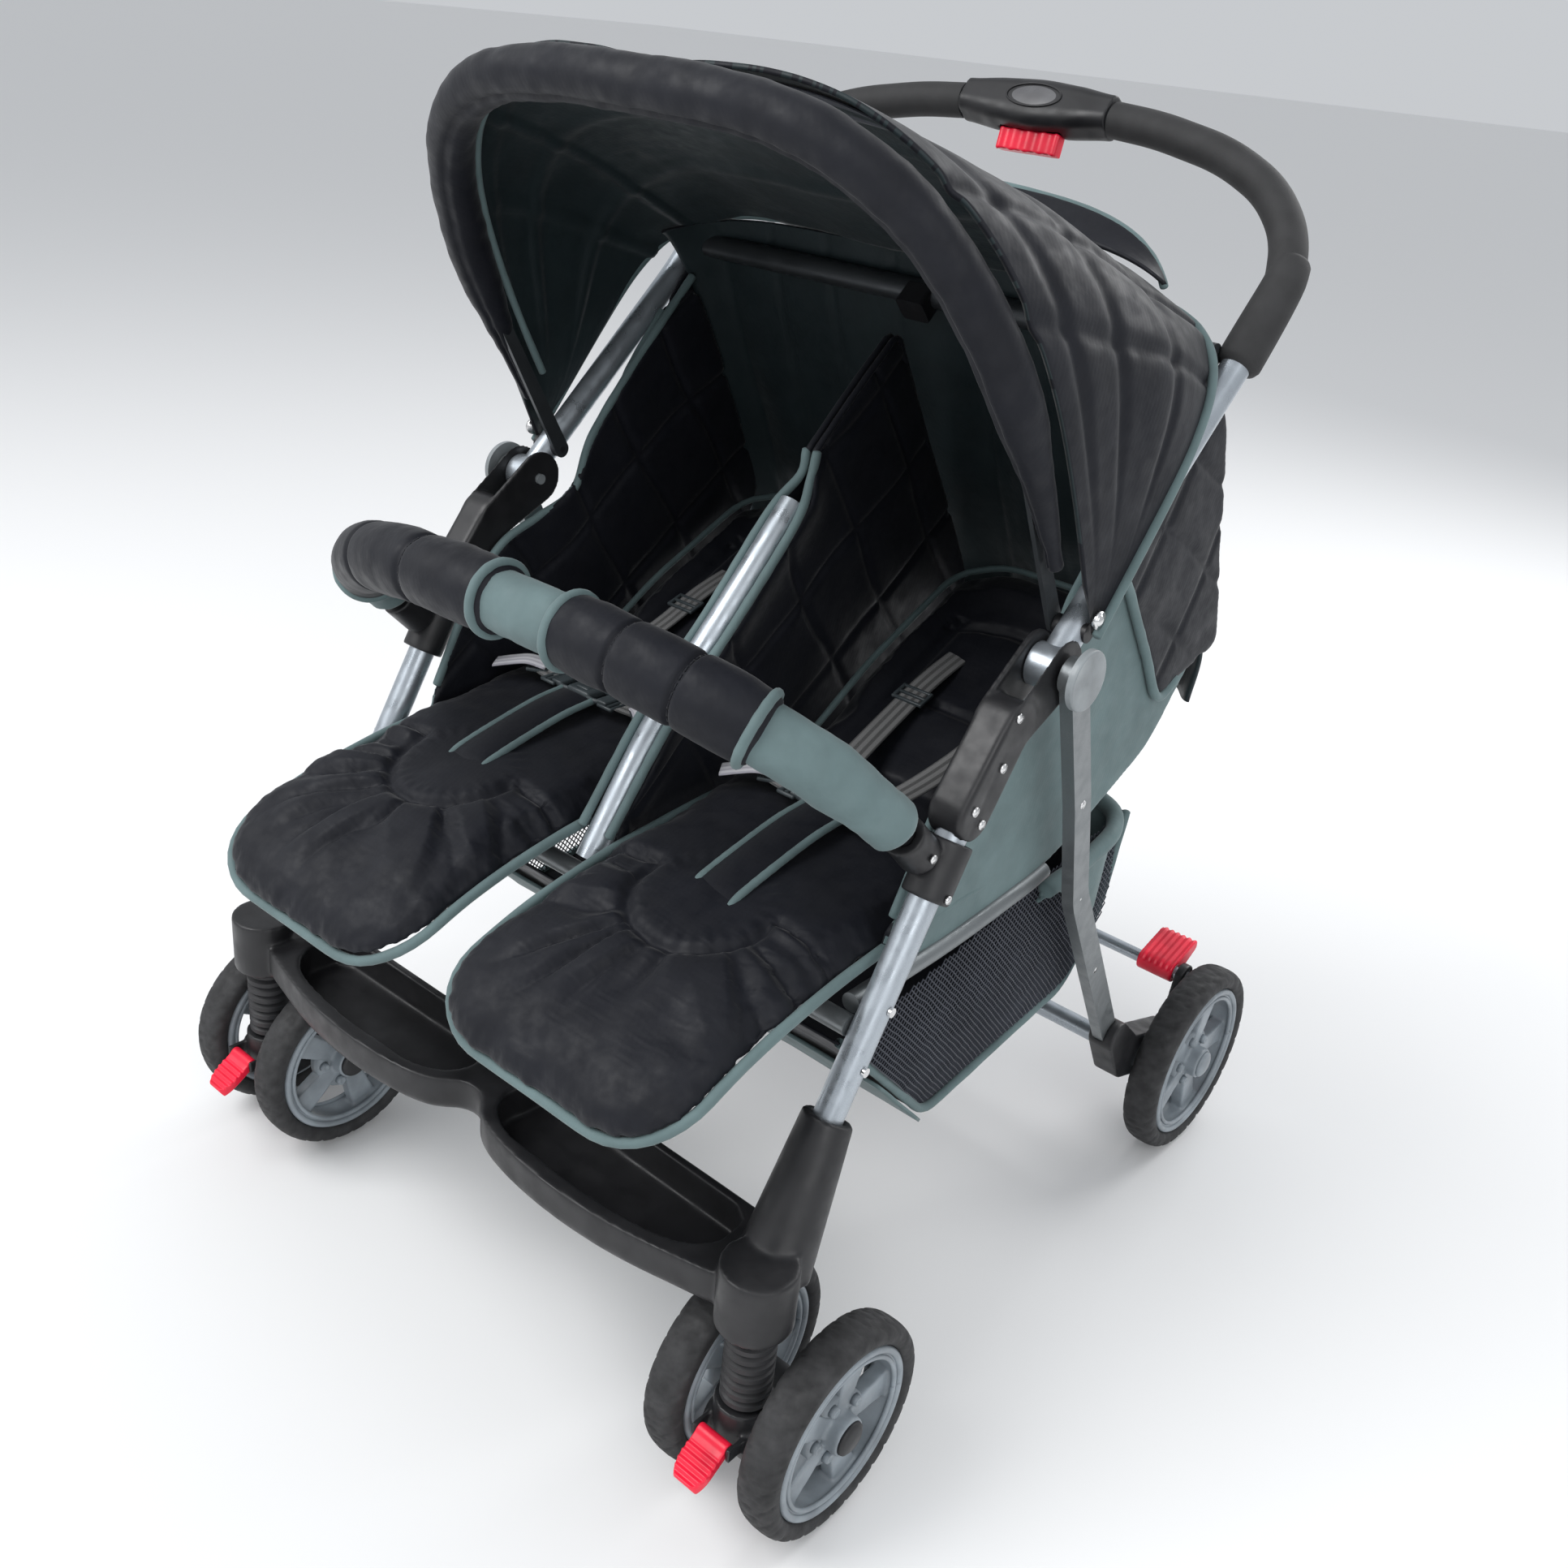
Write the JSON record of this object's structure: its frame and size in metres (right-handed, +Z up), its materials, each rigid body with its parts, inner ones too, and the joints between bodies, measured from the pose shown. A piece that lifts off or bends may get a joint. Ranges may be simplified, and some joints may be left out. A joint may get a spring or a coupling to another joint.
{
  "type": "side-by-side twin stroller",
  "caption": "Side-by-side twin pushchair with two reclining seats, one wide hood, padded bumper bar, mesh basket, swivelling front wheels and a folding frame.",
  "frame": {"origin": "on the floor at the middle of the whole outline", "axes": "+X towards the right-hand seat side when seen from the front camera side, -Y towards the front, +Z up"},
  "size_m": [0.786, 0.882, 1.0519],
  "materials": {
    "silver_tube": "satin powder-coated tube",
    "grey_tube": "satin grey paint",
    "black_plastic": "fine-grained moulding",
    "grey_plastic": "satin",
    "steel": "bright",
    "foam_grip": "soft foam",
    "black_fabric": "woven polyester",
    "lining_fabric": "smooth woven lining",
    "mesh_fabric": "open mesh",
    "buckle_plastic": "satin",
    "red_plastic": "satin",
    "boot_rubber": "ribbed",
    "tyre": "treaded foam tyre",
    "rim_plastic": "satin moulding"
  },
  "bodies": {
    "frame": {"front_leg_left": "silver_tube", "front_leg_right": "silver_tube", "centre_leg": "silver_tube", "seat_front_bar": "grey_tube", "footrest": "black_plastic", "joint_cover_left": "black_plastic", "joint_cover_right": "black_plastic", "fold_pins": "grey_plastic", "frame_rivets": "steel", "seat_rails": "grey_tube", "seat_pad_left": "black_fabric", "seat_pad_right": "black_fabric", "side_wing_left": "black_fabric", "side_wing_right": "black_fabric", "centre_divider": "black_fabric", "rear_curtain": "lining_fabric", "basket": "mesh_fabric", "harness_buckles": "buckle_plastic", "bumper_clamps": "black_plastic"},
    "handle": {"handle_tube": "silver_tube", "grip_left": "foam_grip", "grip_right": "foam_grip", "handle_hub": "black_plastic", "cross_tube": "silver_tube", "divider_hook": "black_plastic", "canopy_mounts": "black_plastic", "canopy_cloth": "black_fabric"},
    "trigger": {"fold_trigger": "red_plastic"},
    "canopy_hoop": {"canopy_bow": "silver_tube", "canopy_roll": "black_fabric"},
    "rear_frame": {"rear_leg_left": "grey_tube", "rear_leg_right": "grey_tube", "wheel_bracket_left": "black_plastic", "wheel_bracket_right": "black_plastic", "rear_cross_tube": "silver_tube"},
    "brake": {"brake_bar": "silver_tube", "brake_pedals": "red_plastic"},
    "bumper": {"bumper_bar": "black_fabric"},
    "rear_wheel_left": {"rear_tyre_left": "tyre", "rear_rim_left": "rim_plastic"},
    "caster_left": {"caster_boot_left": "boot_rubber", "caster_fork_left": "black_plastic"},
    "front_wheel_left_inner": {"front_tyre_left_inner": "tyre", "front_rim_left_inner": "rim_plastic"},
    "front_wheel_left_outer": {"front_tyre_left_outer": "tyre", "front_rim_left_outer": "rim_plastic"},
    "swivel_lock_left": {"swivel_lock_left": "red_plastic"},
    "backrest_left": {"backrest_left": "black_fabric", "recline_plate_left": "black_plastic"},
    "rear_wheel_right": {"rear_tyre_right": "tyre", "rear_rim_right": "rim_plastic"},
    "caster_right": {"caster_boot_right": "boot_rubber", "caster_fork_right": "black_plastic"},
    "front_wheel_right_inner": {"front_tyre_right_inner": "tyre", "front_rim_right_inner": "rim_plastic"},
    "front_wheel_right_outer": {"front_tyre_right_outer": "tyre", "front_rim_right_outer": "rim_plastic"},
    "swivel_lock_right": {"swivel_lock_right": "red_plastic"},
    "backrest_right": {"backrest_right": "black_fabric", "recline_plate_right": "black_plastic"}
  },
  "joints": [
    {"name": "handle_fold", "type": "hinge", "parent": "frame", "child": "handle", "pos_m": [0, -0.06, 0.65], "axis": [1, 0, 0], "range_deg": [0, 105]},
    {"name": "rear_fold", "type": "hinge", "parent": "frame", "child": "rear_frame", "pos_m": [0, -0.06, 0.65], "axis": [1, 0, 0], "range_deg": [-37, 0]},
    {"name": "canopy_fold", "type": "hinge", "parent": "handle", "child": "canopy_hoop", "pos_m": [0, -0.033, 0.676], "axis": [1, 0, 0], "range_deg": [-64, 0], "deforming": ["canopy_cloth"]},
    {"name": "trigger_squeeze", "type": "slide", "parent": "handle", "child": "trigger", "axis": [0, 0.238, 0.9713], "range_m": [0, 0.006], "stiffness_N_per_m": 800, "springref_m": -0.002},
    {"name": "brake_press", "type": "hinge", "parent": "rear_frame", "child": "brake", "pos_m": [0, 0.346, 0.19], "axis": [1, 0, 0], "range_deg": [-22, 0]},
    {"name": "bumper_release", "type": "slide", "parent": "frame", "child": "bumper", "axis": [0, -0.7193, 0.6947], "range_m": [0, 0.025]},
    {"name": "rear_wheel_left_spin", "type": "hinge", "parent": "rear_frame", "child": "rear_wheel_left", "pos_m": [-0.34, 0.336, 0.105], "axis": [1, 0, 0], "continuous": true},
    {"name": "caster_left_swivel", "type": "hinge", "parent": "frame", "child": "caster_left", "pos_m": [-0.321, -0.364, 0.15], "axis": [0, 0, 1], "continuous": true},
    {"name": "front_wheel_left_inner_spin", "type": "hinge", "parent": "caster_left", "child": "front_wheel_left_inner", "pos_m": [-0.271, -0.317, 0.094], "axis": [1, 0, 0], "continuous": true},
    {"name": "front_wheel_left_outer_spin", "type": "hinge", "parent": "caster_left", "child": "front_wheel_left_outer", "pos_m": [-0.371, -0.317, 0.094], "axis": [1, 0, 0], "continuous": true},
    {"name": "swivel_lock_left_flip", "type": "hinge", "parent": "caster_left", "child": "swivel_lock_left", "pos_m": [-0.321, -0.397, 0.1], "axis": [1, 0, 0], "range_deg": [-25, 0]},
    {"name": "backrest_left_recline", "type": "hinge", "parent": "frame", "child": "backrest_left", "pos_m": [-0.147, -0.034, 0.458], "axis": [1, 0, 0], "range_deg": [0, 45]},
    {"name": "rear_wheel_right_spin", "type": "hinge", "parent": "rear_frame", "child": "rear_wheel_right", "pos_m": [0.34, 0.336, 0.105], "axis": [1, 0, 0], "continuous": true},
    {"name": "caster_right_swivel", "type": "hinge", "parent": "frame", "child": "caster_right", "pos_m": [0.321, -0.364, 0.15], "axis": [0, 0, 1], "continuous": true},
    {"name": "front_wheel_right_inner_spin", "type": "hinge", "parent": "caster_right", "child": "front_wheel_right_inner", "pos_m": [0.271, -0.317, 0.094], "axis": [1, 0, 0], "continuous": true},
    {"name": "front_wheel_right_outer_spin", "type": "hinge", "parent": "caster_right", "child": "front_wheel_right_outer", "pos_m": [0.371, -0.317, 0.094], "axis": [1, 0, 0], "continuous": true},
    {"name": "swivel_lock_right_flip", "type": "hinge", "parent": "caster_right", "child": "swivel_lock_right", "pos_m": [0.321, -0.397, 0.1], "axis": [1, 0, 0], "range_deg": [-25, 0]},
    {"name": "backrest_right_recline", "type": "hinge", "parent": "frame", "child": "backrest_right", "pos_m": [0.147, -0.034, 0.458], "axis": [1, 0, 0], "range_deg": [0, 45]}
  ],
  "couplings": [
    {"joint": "rear_fold", "follows": "handle_fold", "ratio": -0.35},
    {"joint": "canopy_fold", "follows": "handle_fold", "ratio": -0.6}
  ]
}
